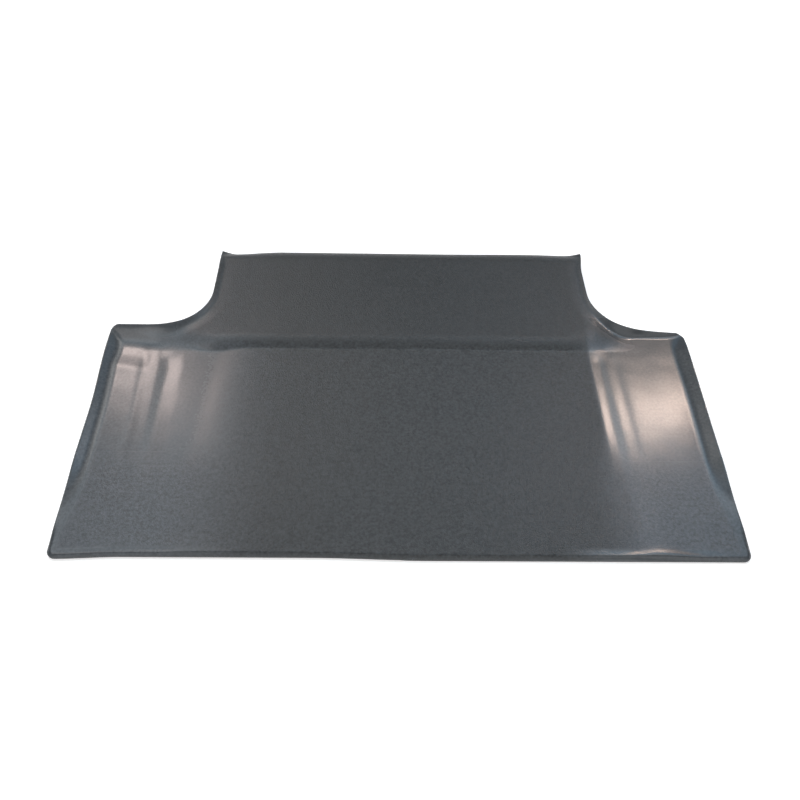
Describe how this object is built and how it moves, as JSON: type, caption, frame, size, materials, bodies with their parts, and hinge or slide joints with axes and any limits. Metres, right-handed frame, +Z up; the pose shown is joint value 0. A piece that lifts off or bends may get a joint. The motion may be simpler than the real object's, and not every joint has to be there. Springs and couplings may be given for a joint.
{
  "type": "truck bed liner",
  "caption": "Moulded vinyl bed mat for a pickup truck, with wheel-arch cut-outs, turned-up lips, a cross ramp to a raised front deck, and fibre underlay pads.",
  "frame": {"origin": "on the surface the mat lies on, under the middle of its width and depth", "axes": "+X to the right across the bed, +Y to the cab end, +Z up"},
  "size_m": [1.5, 0.95, 0.038],
  "materials": {
    "vinyl": "grained satin, slate grey, smoother and glossier on the side wings",
    "barrier": "dense matt filled vinyl, near black",
    "scrim": "thin non-woven felt, charcoal",
    "fibre_pad": "pressed mixed-fibre underlay, brown-grey",
    "facing": "spun-bonded facing with small bond points, dark grey"
  },
  "bodies": {
    "root": {"vinyl_wear_layer": "vinyl", "mass_barrier": "barrier", "backing_scrim": "scrim", "floor_pad": "fibre_pad", "deck_pad": "fibre_pad", "left_wing_pad": "fibre_pad", "right_wing_pad": "fibre_pad", "floor_pad_facing": "facing", "deck_pad_facing": "facing", "left_wing_pad_facing": "facing", "right_wing_pad_facing": "facing"}
  },
  "joints": []
}
